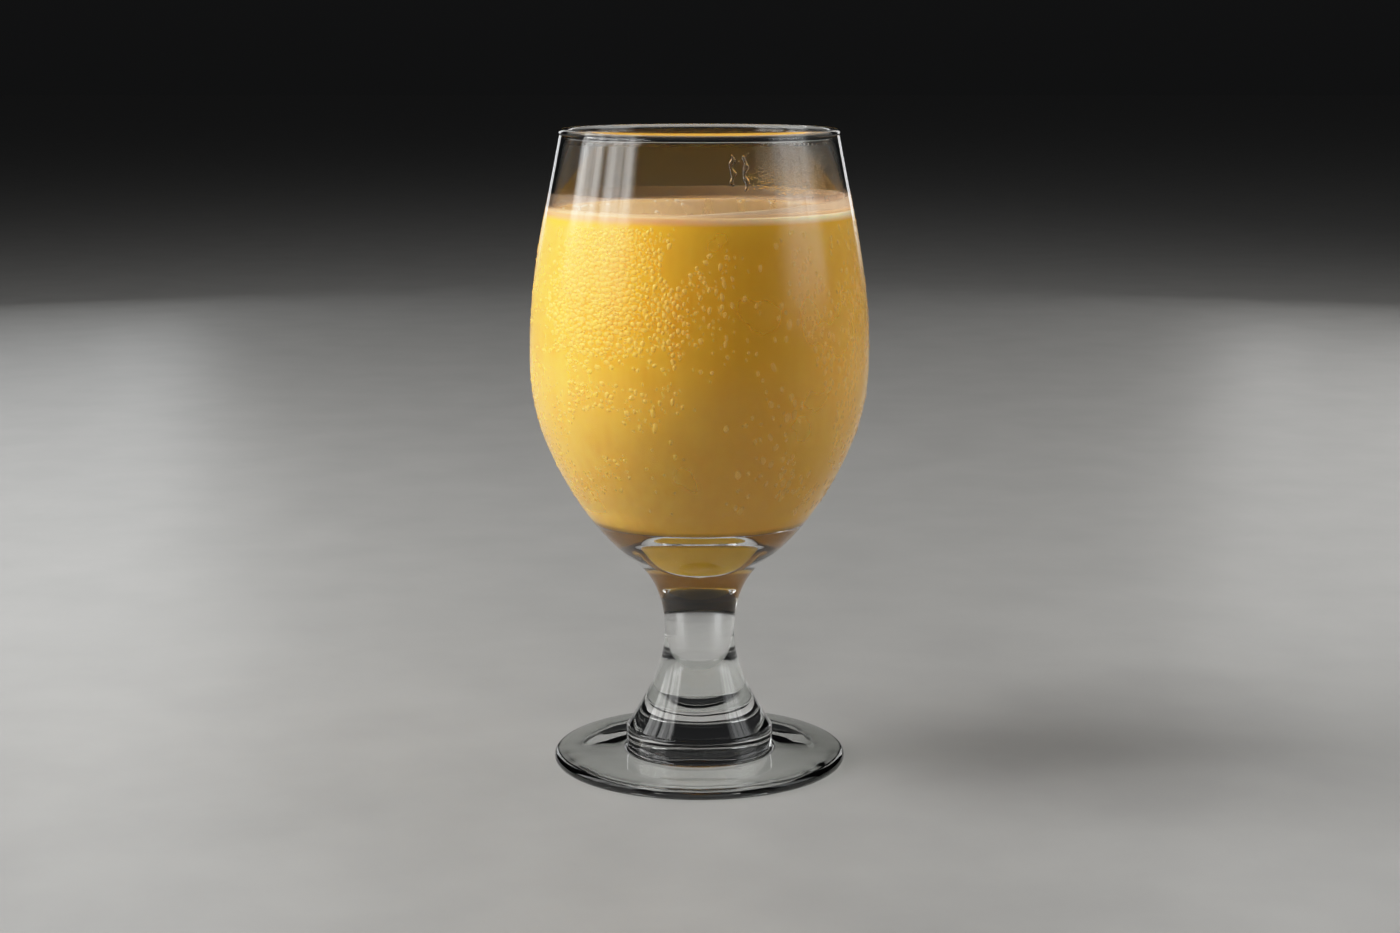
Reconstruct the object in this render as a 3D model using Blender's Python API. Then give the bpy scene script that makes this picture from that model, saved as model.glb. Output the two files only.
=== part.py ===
"""Mango lassi in a clear footed goblet, built as two turned solids.

Metres, +Z up. The foot stands on z = 0 and both solids share the Z axis.
"""
import bpy
import bmesh
import math
from mathutils import Vector

# Facets round the axis, and along one span or arc of an outline
SEGMENTS = 64
SPAN_STEPS = 5
INNER_SPAN_STEPS = 4
ARC_STEPS = 4
BEAD_STEPS = 6
# Length of a curve's handles, as a share of the distance between two stations
HANDLE_SHARE = 0.36
MERGE_DISTANCE = 1e-6

# A station of an outline is (radius, height, heading). The heading is the way the
# outline goes there, as an angle from straight out, turning towards straight up.
UP = math.radians(90.0)
INWARDS = math.radians(180.0)
DOWN = math.radians(270.0)

# Goblet, outside of stem and bowl
FLARE_FOOT = (0.01800, 0.00964, math.radians(122.0))
STEM_NECK = (0.00885, 0.03378, UP)
BOWL_ROOT = (0.01661, 0.05219, math.radians(37.7))
BOWL_SHOULDER = (0.03075, 0.06796, math.radians(57.7))
BELLY = (0.04220, 0.10350, UP)
RIM_BASE = (0.03462, 0.15810, math.radians(100.7))

# Rolled bead round the rim, standing a little proud of the wall
GLASS_HEIGHT = 0.1600
BEAD_RADIUS = 0.00096
BEAD_OUTER_RADIUS = 0.03463

# Foot: a flat standing ring, a rounded edge, a gently domed top and a hollow underside
FOOT_RADIUS = 0.03705
FOOT_EDGE_RADIUS = 0.00148
FOOT_TOP_SLOPE = math.radians(8.7)
STANDING_RING_INNER_RADIUS = 0.0310
HOLLOW_HEIGHT = 0.0025

# Collar round the lower end of the stem
COLLAR_RADIUS = 0.0186
COLLAR_FOOT_HEIGHT = 0.0032
COLLAR_FILLET_RADIUS = 0.0011
COLLAR_SHOULDER_RADIUS = 0.0012
COLLAR_SHOULDER_HEIGHT = 0.0085

# Goblet, inside: wall thickness at the rim, belly and shoulder, then the thick bottom,
# where a nearly level ledge runs in to a rounded pit with a small dimple in its floor
RIM_WALL = 0.0014
BELLY_WALL = 0.0016
SHOULDER_WALL = 0.0019
LEDGE_OUTER = (0.0240, 0.0634, math.radians(184.0))
LEDGE_INNER = (0.0122, 0.0631, math.radians(181.0))
PIT_FLANK = (0.0089, 0.0596, math.radians(240.0))
PIT_FLOOR = (0.0012, 0.0535, math.radians(184.0))
DIMPLE_HEIGHT = 0.0530

# Drink
LEVEL_HEIGHT = 0.1397
DRINK_GAP = 0.0003

# Materials: (red, green, blue) in linear light, roughness, opacity
GLASS_COLOUR = (0.93, 0.95, 0.95)
GLASS_ROUGHNESS = 0.03
GLASS_OPACITY = 0.35
LASSI_COLOUR = (0.82, 0.47, 0.075)
LASSI_ROUGHNESS = 0.35


def clear_scene():
    """Remove every object of the open scene."""
    for item in list(bpy.data.objects):
        bpy.data.objects.remove(item, do_unlink=True)


def step_along(point, heading, distance):
    """The point that lies a distance away along a heading."""
    radius = point[0] + distance * math.cos(heading)
    height = point[1] + distance * math.sin(heading)
    return (radius, height)


def curve_span(start, end, steps):
    """Points of one smooth span between two stations, without its first point."""
    reach = HANDLE_SHARE * math.hypot(end[0] - start[0], end[1] - start[1])
    first_handle = step_along(start, start[2], reach)
    second_handle = step_along(end, end[2], -reach)
    points = []
    for step in range(1, steps + 1):
        t = step / steps
        u = 1.0 - t
        weights = (u * u * u, 3.0 * u * u * t, 3.0 * u * t * t, t * t * t)
        corners = (start, first_handle, second_handle, end)
        radius = sum(weight * corner[0] for weight, corner in zip(weights, corners))
        height = sum(weight * corner[1] for weight, corner in zip(weights, corners))
        points.append((radius, height))
    return points


def smooth_outline(stations, steps):
    """A smooth outline through all the stations, with its first point."""
    points = [stations[0][:2]]
    for start, end in zip(stations[:-1], stations[1:]):
        points.extend(curve_span(start, end, steps))
    return points


def arc(centre, radius, first_angle, last_angle, steps=ARC_STEPS):
    """Points of a round arc, with both ends."""
    points = []
    for step in range(steps + 1):
        angle = first_angle + (last_angle - first_angle) * step / steps
        points.append(step_along(centre, angle, radius))
    return points


def inside_of(station, wall):
    """The station on the other side of the wall, for an outline that goes down."""
    radius, height = step_along(station, station[2] + UP, wall)
    return (radius, height, station[2] + INWARDS)


def foot_outline():
    """From the axis under the foot, round the foot's edge, to the collar's shoulder."""
    edge_centre = (FOOT_RADIUS - FOOT_EDGE_RADIUS, FOOT_EDGE_RADIUS)
    points = []
    hollow_steps = ARC_STEPS
    for step in range(hollow_steps + 1):
        share = step / hollow_steps
        height = HOLLOW_HEIGHT * (1.0 - share * share)
        points.append((STANDING_RING_INNER_RADIUS * share, height))
    points.extend(arc(edge_centre, FOOT_EDGE_RADIUS, -UP, UP + FOOT_TOP_SLOPE))
    fillet_centre = (COLLAR_RADIUS + COLLAR_FILLET_RADIUS, COLLAR_FOOT_HEIGHT + COLLAR_FILLET_RADIUS)
    top_start = (*points[-1], INWARDS - FOOT_TOP_SLOPE)
    top_end = (fillet_centre[0], COLLAR_FOOT_HEIGHT, INWARDS)
    points.extend(curve_span(top_start, top_end, SPAN_STEPS)[:-1])
    points.extend(arc(fillet_centre, COLLAR_FILLET_RADIUS, DOWN, INWARDS))
    shoulder_centre = (COLLAR_RADIUS - COLLAR_SHOULDER_RADIUS, COLLAR_SHOULDER_HEIGHT)
    shoulder_end = math.radians(60.0)
    points.extend(arc(shoulder_centre, COLLAR_SHOULDER_RADIUS, 0.0, shoulder_end)[:-1])
    return points


def rim_outline():
    """The rolled bead, from the outside of the wall over the top to the inside."""
    centre = (BEAD_OUTER_RADIUS - BEAD_RADIUS, GLASS_HEIGHT - BEAD_RADIUS)
    return arc(centre, BEAD_RADIUS, math.radians(-30.0), math.radians(210.0), BEAD_STEPS)


def inner_outline():
    """The hollow of the bowl, from just under the rim down to the axis."""
    stations = (
        inside_of(RIM_BASE, RIM_WALL),
        inside_of(BELLY, BELLY_WALL),
        inside_of(BOWL_SHOULDER, SHOULDER_WALL),
        LEDGE_OUTER,
        LEDGE_INNER,
        PIT_FLANK,
        PIT_FLOOR,
    )
    return smooth_outline(stations, INNER_SPAN_STEPS) + [(0.0, DIMPLE_HEIGHT)]


def goblet_outline():
    """The whole goblet in half section, from the axis to the axis."""
    stations = (FLARE_FOOT, STEM_NECK, BOWL_ROOT, BOWL_SHOULDER, BELLY, RIM_BASE)
    outside = smooth_outline(stations, SPAN_STEPS)
    return foot_outline() + outside[:-1] + rim_outline() + inner_outline()


def lassi_outline():
    """The drink in half section: the bowl's hollow, drawn in by the gap, up to the level."""
    hollow = inner_outline()
    drawn_in = []
    for before, here, after in zip(hollow[:-2], hollow[1:-1], hollow[2:]):
        heading = math.atan2(after[1] - before[1], after[0] - before[0])
        drawn_in.append(step_along(here, heading - UP, DRINK_GAP))
    below_level = [point for point in drawn_in if point[1] < LEVEL_HEIGHT]
    above_level = [point for point in drawn_in if point[1] >= LEVEL_HEIGHT]
    high = above_level[-1]
    low = below_level[0]
    share = (high[1] - LEVEL_HEIGHT) / (high[1] - low[1])
    edge_radius = high[0] + share * (low[0] - high[0])
    floor = (0.0, DIMPLE_HEIGHT + DRINK_GAP)
    return [(0.0, LEVEL_HEIGHT), (edge_radius, LEVEL_HEIGHT)] + below_level + [floor]


def turn_solid(name, outline, material):
    """Turn a half section round the Z axis into one closed, smoothly shaded solid."""
    builder = bmesh.new()
    corners = [builder.verts.new(Vector((radius, 0.0, height))) for radius, height in outline]
    edges = [builder.edges.new(pair) for pair in zip(corners[:-1], corners[1:])]
    bmesh.ops.spin(
        builder,
        geom=corners + edges,
        cent=(0.0, 0.0, 0.0),
        axis=(0.0, 0.0, 1.0),
        angle=math.tau,
        steps=SEGMENTS,
        use_merge=True,
    )
    bmesh.ops.remove_doubles(builder, verts=builder.verts, dist=MERGE_DISTANCE)
    bmesh.ops.recalc_face_normals(builder, faces=builder.faces)
    mesh = bpy.data.meshes.new(name)
    builder.to_mesh(mesh)
    builder.free()
    mesh.materials.append(material)
    mesh.shade_smooth()
    mesh.set_sharp_from_angle(angle=math.radians(35.0))
    solid = bpy.data.objects.new(name, mesh)
    bpy.context.scene.collection.objects.link(solid)
    return solid


def principled(name, colour, roughness, opacity=1.0):
    """A plain non-metal material."""
    material = bpy.data.materials.new(name)
    material.use_nodes = True
    shader = material.node_tree.nodes["Principled BSDF"]
    shader.inputs["Base Color"].default_value = (*colour, 1.0)
    shader.inputs["Roughness"].default_value = roughness
    shader.inputs["Metallic"].default_value = 0.0
    shader.inputs["Alpha"].default_value = opacity
    return material


def build():
    clear_scene()
    glass = principled("clear_glass", GLASS_COLOUR, GLASS_ROUGHNESS, GLASS_OPACITY)
    lassi = principled("mango_lassi", LASSI_COLOUR, LASSI_ROUGHNESS)
    turn_solid("goblet", goblet_outline(), glass)
    turn_solid("lassi", lassi_outline(), lassi)


build()
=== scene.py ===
"""Looks of the mango lassi in its goblet: clear glass, drink, film, bubbles and dew.

Metres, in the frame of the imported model. +Z is up and the camera looks along +Y. Angles are
in radians unless degrees are named.
"""

import math
import random
from collections import namedtuple

import bpy
import numpy as np
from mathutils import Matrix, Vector, noise


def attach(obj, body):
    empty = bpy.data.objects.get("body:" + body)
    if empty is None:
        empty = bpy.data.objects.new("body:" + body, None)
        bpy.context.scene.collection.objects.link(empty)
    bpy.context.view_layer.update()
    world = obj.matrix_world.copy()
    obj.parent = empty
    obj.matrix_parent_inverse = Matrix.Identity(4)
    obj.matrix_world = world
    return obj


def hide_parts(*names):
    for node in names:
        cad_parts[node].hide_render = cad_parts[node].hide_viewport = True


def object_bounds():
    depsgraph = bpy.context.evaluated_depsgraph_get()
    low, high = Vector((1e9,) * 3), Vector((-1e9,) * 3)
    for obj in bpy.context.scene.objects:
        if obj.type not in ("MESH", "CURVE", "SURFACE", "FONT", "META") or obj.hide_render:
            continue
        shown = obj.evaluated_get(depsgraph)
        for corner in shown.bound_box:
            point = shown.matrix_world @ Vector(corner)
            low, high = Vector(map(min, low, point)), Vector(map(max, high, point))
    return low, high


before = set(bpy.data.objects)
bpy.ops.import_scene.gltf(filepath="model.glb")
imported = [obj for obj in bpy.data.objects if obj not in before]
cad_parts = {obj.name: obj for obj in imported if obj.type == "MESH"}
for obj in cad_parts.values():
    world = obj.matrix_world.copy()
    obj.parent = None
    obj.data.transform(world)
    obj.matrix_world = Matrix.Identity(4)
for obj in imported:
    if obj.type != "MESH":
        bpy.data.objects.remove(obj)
cad_low, cad_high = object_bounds()

MM = 0.001

# A station of an outline is (radius, height, heading). The heading is the way the outline
# goes there, from straight out turning towards straight up.
UP = math.radians(90.0)
INWARDS = math.radians(180.0)
DOWN = math.radians(270.0)
# Length of a curve's handles, as a share of the distance between two stations
HANDLE_SHARE = 0.36

# Goblet, outside of stem and bowl
FLARE_FOOT = (0.01800, 0.00964, math.radians(122.0))
STEM_NECK = (0.00885, 0.03378, UP)
BOWL_ROOT = (0.01661, 0.05219, math.radians(37.7))
BOWL_SHOULDER = (0.03075, 0.06796, math.radians(57.7))
BELLY = (0.04220, 0.10350, UP)
RIM_BASE = (0.03462, 0.15810, math.radians(100.7))

# Rolled bead round the rim, from its outer to its inner foot
GLASS_HEIGHT = 0.1600
BEAD_RADIUS = 0.00096
BEAD_OUTER_RADIUS = 0.03463
BEAD_START = math.radians(-30.0)
BEAD_END = math.radians(210.0)

# Foot
FOOT_RADIUS = 0.03705
FOOT_EDGE_RADIUS = 0.00148
FOOT_TOP_SLOPE = math.radians(8.7)
STANDING_RING_INNER_RADIUS = 0.0310
HOLLOW_HEIGHT = 0.0025

# Collar round the lower end of the stem
COLLAR_RADIUS = 0.0186
COLLAR_FOOT_HEIGHT = 0.0032
COLLAR_FILLET_RADIUS = 0.0011
COLLAR_SHOULDER_RADIUS = 0.0012
COLLAR_SHOULDER_HEIGHT = 0.0085
COLLAR_SHOULDER_END = math.radians(60.0)

# Goblet, inside: the wall, then the ledge and the pit of the thick bottom
RIM_WALL = 0.0014
BELLY_WALL = 0.0016
SHOULDER_WALL = 0.0019
LEDGE_OUTER = (0.0240, 0.0634, math.radians(184.0))
LEDGE_INNER = (0.0122, 0.0631, math.radians(181.0))
PIT_FLANK = (0.0089, 0.0596, math.radians(240.0))
PIT_FLOOR = (0.0012, 0.0535, math.radians(184.0))
DIMPLE_HEIGHT = 0.0530

# Fineness of the turned meshes
GLASS_SEGMENTS = 224
DRINK_SEGMENTS = 192
SPAN_STEPS = 16
WALL_STEPS = 36
ARC_STEPS = 12
BEAD_STEPS = 18
LONG_SPAN = 0.030
JOINT_LENGTH = 0.00012
WALL_SAMPLES = 200
ON_AXIS = 1e-7

# Drink. Its side reaches just into the glass, so that no air gap shows.
LEVEL_HEIGHT = 0.1397
DRINK_OVERLAP = 0.00010
MENISCUS_RISE = 0.0007
MENISCUS_REACH = 0.0008
BRIM_ROOM = 0.2 * MM
BRIM_ANGLE = math.radians(50.0)
# Rings of the drink's top, which crowd towards the wall, and its ripples
TOP_RINGS = 40
RING_CROWDING = 1.8
TOP_DEPTH = 0.1 * MM
TOP_RIPPLE = 0.00012
RIPPLES_PER_METRE = 160.0
CALM_MARGIN = 2.0 * MM

# Refractive indices
GLASS_IOR = 1.52
WATER_IOR = 1.33
DRINK_IOR = 1.36


# Outlines of the turned pieces


def step_along(point, heading, distance):
    """The point that lies a distance away along a heading."""
    radius = point[0] + distance * math.cos(heading)
    height = point[1] + distance * math.sin(heading)
    return (radius, height)


def curve_span(start, end, steps=SPAN_STEPS):
    """Points of one smooth span between two stations, without its first point."""
    reach = HANDLE_SHARE * math.hypot(end[0] - start[0], end[1] - start[1])
    first_handle = step_along(start, start[2], reach)
    second_handle = step_along(end, end[2], -reach)
    corners = (start, first_handle, second_handle, end)
    points = []
    for step in range(1, steps + 1):
        done = step / steps
        left = 1.0 - done
        weights = (
            left * left * left,
            3.0 * left * left * done,
            3.0 * left * done * done,
            done * done * done,
        )
        radius = sum(weight * corner[0] for weight, corner in zip(weights, corners))
        height = sum(weight * corner[1] for weight, corner in zip(weights, corners))
        points.append((radius, height))
    return points


def smooth_outline(stations):
    """A smooth outline through all the stations, with its first point."""
    points = [stations[0][:2]]
    for start, end in zip(stations[:-1], stations[1:]):
        long_span = abs(end[1] - start[1]) > LONG_SPAN
        points.extend(curve_span(start, end, WALL_STEPS if long_span else SPAN_STEPS))
    return points


def arc(centre, radius, first_angle, last_angle, steps=ARC_STEPS):
    """Points of a round arc, with both ends."""
    angles = np.linspace(first_angle, last_angle, steps + 1)
    return [step_along(centre, angle, radius) for angle in angles]


def inside_of(station, wall):
    """The station on the other side of the wall, for an outline that goes down."""
    radius, height = step_along(station, station[2] + UP, wall)
    return (radius, height, station[2] + INWARDS)


def foot_outline():
    """From the axis under the foot, round the foot's edge, to the collar's shoulder."""
    points = []
    for share in np.linspace(0.0, 1.0, ARC_STEPS + 1):
        height = HOLLOW_HEIGHT * (1.0 - share * share)
        points.append((STANDING_RING_INNER_RADIUS * share, height))
    edge_centre = (FOOT_RADIUS - FOOT_EDGE_RADIUS, FOOT_EDGE_RADIUS)
    points.extend(arc(edge_centre, FOOT_EDGE_RADIUS, -UP, UP + FOOT_TOP_SLOPE))
    fillet_centre = (
        COLLAR_RADIUS + COLLAR_FILLET_RADIUS,
        COLLAR_FOOT_HEIGHT + COLLAR_FILLET_RADIUS,
    )
    top_start = (*points[-1], INWARDS - FOOT_TOP_SLOPE)
    top_end = (fillet_centre[0], COLLAR_FOOT_HEIGHT, INWARDS)
    points.extend(curve_span(top_start, top_end)[:-1])
    points.extend(arc(fillet_centre, COLLAR_FILLET_RADIUS, DOWN, INWARDS))
    shoulder_centre = (COLLAR_RADIUS - COLLAR_SHOULDER_RADIUS, COLLAR_SHOULDER_HEIGHT)
    points.extend(arc(shoulder_centre, COLLAR_SHOULDER_RADIUS, 0.0, COLLAR_SHOULDER_END)[:-1])
    return points


def rim_outline():
    """The rolled bead, from the outside of the wall over the top to the inside."""
    centre = (BEAD_OUTER_RADIUS - BEAD_RADIUS, GLASS_HEIGHT - BEAD_RADIUS)
    return arc(centre, BEAD_RADIUS, BEAD_START, BEAD_END, BEAD_STEPS)


def outer_outline():
    """The outside of stem and bowl, from the collar up to the rim."""
    return smooth_outline((FLARE_FOOT, STEM_NECK, BOWL_ROOT, BOWL_SHOULDER, BELLY, RIM_BASE))


def inner_outline():
    """The hollow of the bowl, from just under the rim down to the axis."""
    stations = (
        inside_of(RIM_BASE, RIM_WALL),
        inside_of(BELLY, BELLY_WALL),
        inside_of(BOWL_SHOULDER, SHOULDER_WALL),
        LEDGE_OUTER,
        LEDGE_INNER,
        PIT_FLANK,
        PIT_FLOOR,
    )
    return smooth_outline(stations) + [(0.0, DIMPLE_HEIGHT)]


def radii_at(outline, heights):
    """The outline's radii at some heights, between its points."""
    upwards = sorted(outline, key=lambda point: point[1])
    known_radii, known_heights = np.array(upwards).T
    return np.interp(heights, known_heights, known_radii)


OUTER = outer_outline()
INNER = inner_outline()
OUTER_RADII, OUTER_HEIGHTS = np.array(OUTER).T
INNER_HEIGHTS = np.linspace(LEDGE_OUTER[1] + 2.0 * MM, RIM_BASE[1], WALL_SAMPLES)
INNER_RADII = radii_at(INNER, INNER_HEIGHTS)


def inner_radius(height):
    """Radius of the bowl's inside wall at a height above the ledge."""
    return float(np.interp(height, INNER_HEIGHTS, INNER_RADII))


def outer_radius(height):
    """Radius of the outside of stem and bowl at a height."""
    return float(np.interp(height, OUTER_HEIGHTS, OUTER_RADII))


# Mesh helpers


def around(azimuth, radius, height):
    """A point at an azimuth. Zero faces the camera, and it grows to the right."""
    return (radius * math.sin(azimuth), -radius * math.cos(azimuth), height)


def new_object(name, data):
    """A new object of the scene."""
    item = bpy.data.objects.new(name, data)
    bpy.context.scene.collection.objects.link(item)
    return item


def add_piece(name, vertices, faces, materials, node=None):
    """Make a smoothly shaded piece that rides on the part, and hide the part's node that it takes
    the place of, if one is given.
    """
    mesh = bpy.data.meshes.new(name)
    mesh.from_pydata(vertices, [], faces)
    for material in materials:
        mesh.materials.append(material)
    mesh.shade_smooth()
    mesh.validate()
    piece = new_object(name, mesh)
    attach(piece, "root")
    if node:
        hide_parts(node)
    return piece


def turned(outline, segments):
    """Vertices and outward faces of a half section turned round the Z axis.

    The half section runs from the axis, round the outside, back to the axis.
    """
    vertices = []
    rings = []
    for radius, height in outline:
        first = len(vertices)
        if radius < ON_AXIS:
            vertices.append((0.0, 0.0, height))
            rings.append([first] * segments)
            continue
        for step in range(segments):
            vertices.append(around(math.tau * step / segments, radius, height))
        rings.append(list(range(first, first + segments)))
    faces = []
    for lower, upper in zip(rings[:-1], rings[1:]):
        for step in range(segments):
            after = (step + 1) % segments
            face = []
            for corner in (lower[step], lower[after], upper[after], upper[step]):
                if corner not in face:
                    face.append(corner)
            faces.append(tuple(face))
    return vertices, faces


# Shader helpers

# What a noise texture hardly ever leaves, and its middle, for more contrast
NOISE_REACH = (0.1, 0.9)
NOISE_MIDDLE = (0.3, 0.7)
EVEN = (1.0, 1.0, 1.0)
WHITE = (1.0, 1.0, 1.0)


def new_material(name):
    """A node material, with its node tree and its Principled shader."""
    material = bpy.data.materials.new(name)
    material.use_nodes = True
    tree = material.node_tree
    return material, tree, tree.nodes["Principled BSDF"]


def set_inputs(node, values):
    """Give a node's inputs a plain value, a colour, or another node's socket each."""
    for name, value in values.items():
        socket = node.inputs[name]
        if isinstance(value, bpy.types.NodeSocket):
            node.id_data.links.new(value, socket)
        elif socket.type == "RGBA":
            socket.default_value = (*value, 1.0)
        else:
            socket.default_value = value


def show(tree, surface):
    """Make a shader the material's surface."""
    set_inputs(tree.nodes["Material Output"], {"Surface": surface})


def object_noise(tree, scale, detail=3.0, stretch=EVEN):
    """A noise texture in the piece's own coordinates. Scale is in features per metre."""
    coordinates = tree.nodes.new("ShaderNodeTexCoord")
    mapping = tree.nodes.new("ShaderNodeMapping")
    texture = tree.nodes.new("ShaderNodeTexNoise")
    set_inputs(mapping, {"Vector": coordinates.outputs["Object"], "Scale": stretch})
    set_inputs(texture, {"Vector": mapping.outputs["Vector"], "Scale": scale, "Detail": detail})
    return texture.outputs["Fac"]


def remapped(tree, value, low, high, new_low, new_high):
    """The value stretched from one range to another, and clamped."""
    node = tree.nodes.new("ShaderNodeMapRange")
    ends = {"From Min": low, "From Max": high, "To Min": new_low, "To Max": new_high}
    set_inputs(node, {"Value": value, **ends})
    return node.outputs["Result"]


def combined(tree, operation, first, second):
    """A Math node on two sockets."""
    node = tree.nodes.new("ShaderNodeMath")
    node.operation = operation
    set_inputs(node, {0: first, 1: second})
    return node.outputs["Value"]


def parts_of(tree, vector):
    """A vector's parts, as the sockets X, Y and Z."""
    split = tree.nodes.new("ShaderNodeSeparateXYZ")
    set_inputs(split, {"Vector": vector})
    return split.outputs


def place_of(tree):
    """The place on the piece, as the sockets X, Y and Z."""
    coordinates = tree.nodes.new("ShaderNodeTexCoord")
    return parts_of(tree, coordinates.outputs["Object"])


def mixed_colour(tree, factor, first, second):
    """A colour between two others. Each is a plain colour or another node's socket."""
    node = tree.nodes.new("ShaderNodeMix")
    node.data_type = "RGBA"
    set_inputs(node, {"Factor": factor, "A": first, "B": second})
    return node.outputs["Result"]


def bumped(tree, shader, value, distance):
    """Let a value raise the surface by up to a distance."""
    node = tree.nodes.new("ShaderNodeBump")
    set_inputs(node, {"Height": value, "Distance": distance})
    set_inputs(shader, {"Normal": node.outputs["Normal"]})


def mixed_shaders(tree, factor, first, second):
    """A Mix Shader node on two shaders."""
    mix = tree.nodes.new("ShaderNodeMixShader")
    set_inputs(mix, {"Fac": factor, 1: first, 2: second})
    return mix.outputs["Shader"]


def let_lamps_through(tree, surface, colour):
    """Show a surface that is Transparent to light that goes to or comes from a matt one."""
    path = tree.nodes.new("ShaderNodeLightPath")
    matt = (path.outputs["Is Shadow Ray"], path.outputs["Is Diffuse Ray"])
    clear = tree.nodes.new("ShaderNodeBsdfTransparent")
    set_inputs(clear, {"Color": colour})
    either = combined(tree, "MAXIMUM", *matt)
    show(tree, mixed_shaders(tree, either, surface, clear.outputs["BSDF"]))


# Glass

GLASS_TINT = (0.985, 0.995, 0.990)
GLASS_SHADOW = (0.90, 0.91, 0.90)
# The glass is cold and misted from just above its bottom to the level
COLD_FOOT = (0.064, 0.068)
COLD_TOP = (0.137, 0.141)
MIST_PATCHES = 55.0
MIST_ROUGHNESS = (0.02, 0.42)
MIST_COLOUR = (0.95, 0.95, 0.95)
MIST_SLANT = (0.05, 0.70)
MIST_VEIL = 0.05
# Waves of the pressed glass, drawn out upwards, and stronger unevenness of the stem
WAVES = 60.0
WAVES_DRAWN_OUT = (1.0, 1.0, 0.25)
WAVES_SHARE = 0.24
STEM_WAVES = 85.0
STEM_WAVES_SHARE = 0.35
STEM_TOP = (0.030, 0.048)
WAVE_HEIGHT = 0.5 * MM


def glass_waves(tree, height):
    """How far the surface of the glass is raised, as a share of the height of a wave."""
    waves = object_noise(tree, WAVES, 1.0, WAVES_DRAWN_OUT)
    waves = remapped(tree, waves, 0.0, 1.0, 0.0, WAVES_SHARE)
    stem_waves = object_noise(tree, STEM_WAVES, 1.0)
    stem_waves = remapped(tree, stem_waves, 0.0, 1.0, 0.0, STEM_WAVES_SHARE)
    stem = remapped(tree, height, *STEM_TOP, 1.0, 0.0)
    return combined(tree, "ADD", waves, combined(tree, "MULTIPLY", stem, stem_waves))


def glass_material():
    """Pressed soda-lime glass, wavy here and there, and misted where the drink cools it."""
    material, tree, shader = new_material("clear_glass")
    clear = {"Transmission Weight": 1.0, "IOR": GLASS_IOR, "Roughness": 0.0}
    set_inputs(shader, {"Base Color": GLASS_TINT, **clear})
    height = place_of(tree)["Z"]
    above_bottom = remapped(tree, height, *COLD_FOOT, 0.0, 1.0)
    below_level = remapped(tree, height, *COLD_TOP, 1.0, 0.0)
    cold = combined(tree, "MULTIPLY", above_bottom, below_level)
    patches = object_noise(tree, MIST_PATCHES)
    patches = remapped(tree, patches, *NOISE_REACH, *MIST_ROUGHNESS)
    set_inputs(shader, {"Roughness": combined(tree, "MULTIPLY", cold, patches)})
    bumped(tree, shader, glass_waves(tree, height), WAVE_HEIGHT)
    slant = tree.nodes.new("ShaderNodeLayerWeight")
    veil = remapped(tree, slant.outputs["Facing"], *MIST_SLANT, 0.0, MIST_VEIL)
    veil = combined(tree, "MULTIPLY", cold, veil)
    mist = tree.nodes.new("ShaderNodeBsdfDiffuse")
    set_inputs(mist, {"Color": MIST_COLOUR})
    misted = mixed_shaders(tree, veil, shader.outputs["BSDF"], mist.outputs["BSDF"])
    let_lamps_through(tree, misted, GLASS_SHADOW)
    return material


# Drink

# Blotches, and streaks drawn out upwards
BLOTCHES = 90.0
STREAKS = 420.0
STREAKS_DRAWN_OUT = (1.0, 1.0, 0.06)
BLOTCH_CONTRAST = (0.70, 1.30)
SIDE_DEEP = (0.880, 0.460, 0.034)
SIDE_PALE = (0.965, 0.558, 0.056)
# The open top, darker than the side: painted shade
SHADED_TOP_DEEP = (0.700, 0.360, 0.045)
SHADED_TOP_PALE = (0.740, 0.410, 0.078)
# Painted shade, a deeper stripe right of the middle: where it sets in and where it dies away
SHADE_COLOUR = (0.93, 0.448, 0.034)
SHADE_SETS_IN = (-0.012, 0.012)
SHADE_STRENGTH = 0.75
SHADE_DIES_AWAY = (0.014, 0.030)
SHADE_LEFT_OVER = 0.4
# Colours by height: painted shade on the ledge (brown), painted light in the pit (yellow), and a
# painted glow of light under the level
LEDGE_PAINTED_SHADE = ((0.0646, LEDGE_OUTER[1]), (0.43, 0.190, 0.015))
PIT_PAINTED_LIGHT = ((0.0629, 0.0622), (1.0, 0.556, 0.060))
CREAM_FOOT = 0.1384
GLOW_PAINTED_LIGHT = ((CREAM_FOOT - 5.0 * MM, CREAM_FOOT), (1.0, 0.540, 0.045))
# The cream at the level; its change to paler on the right is painted light
CREAM_HEIGHTS = (CREAM_FOOT, LEVEL_HEIGHT)
CREAM_PLACES = (-0.006, 0.026)
CREAM_LEFT = (0.80, 0.45, 0.225)
CREAM_RIGHT_PAINTED_LIGHT = (1.0, 0.88, 0.66)
# The light that soaks into the drink
DRINK_BODY = {
    "Roughness": 0.30,
    "Subsurface Weight": 0.50,
    "Subsurface Radius": (1.0, 0.80, 0.35),
    "Subsurface Scale": 0.0020,
}
TOP_GRAIN = 900.0
TOP_GRAIN_HEIGHT = 0.00004
WET_ROUGHNESS = 0.02


def drink_blotches(tree):
    """A factor from 0 to 1, from the deeper to the paler places of the drink."""
    blotches = object_noise(tree, BLOTCHES, 4.0)
    drawn_down = object_noise(tree, STREAKS, 2.0, STREAKS_DRAWN_OUT)
    both = combined(tree, "ADD", blotches, drawn_down)
    return remapped(tree, both, *BLOTCH_CONTRAST, 0.0, 1.0)


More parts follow.
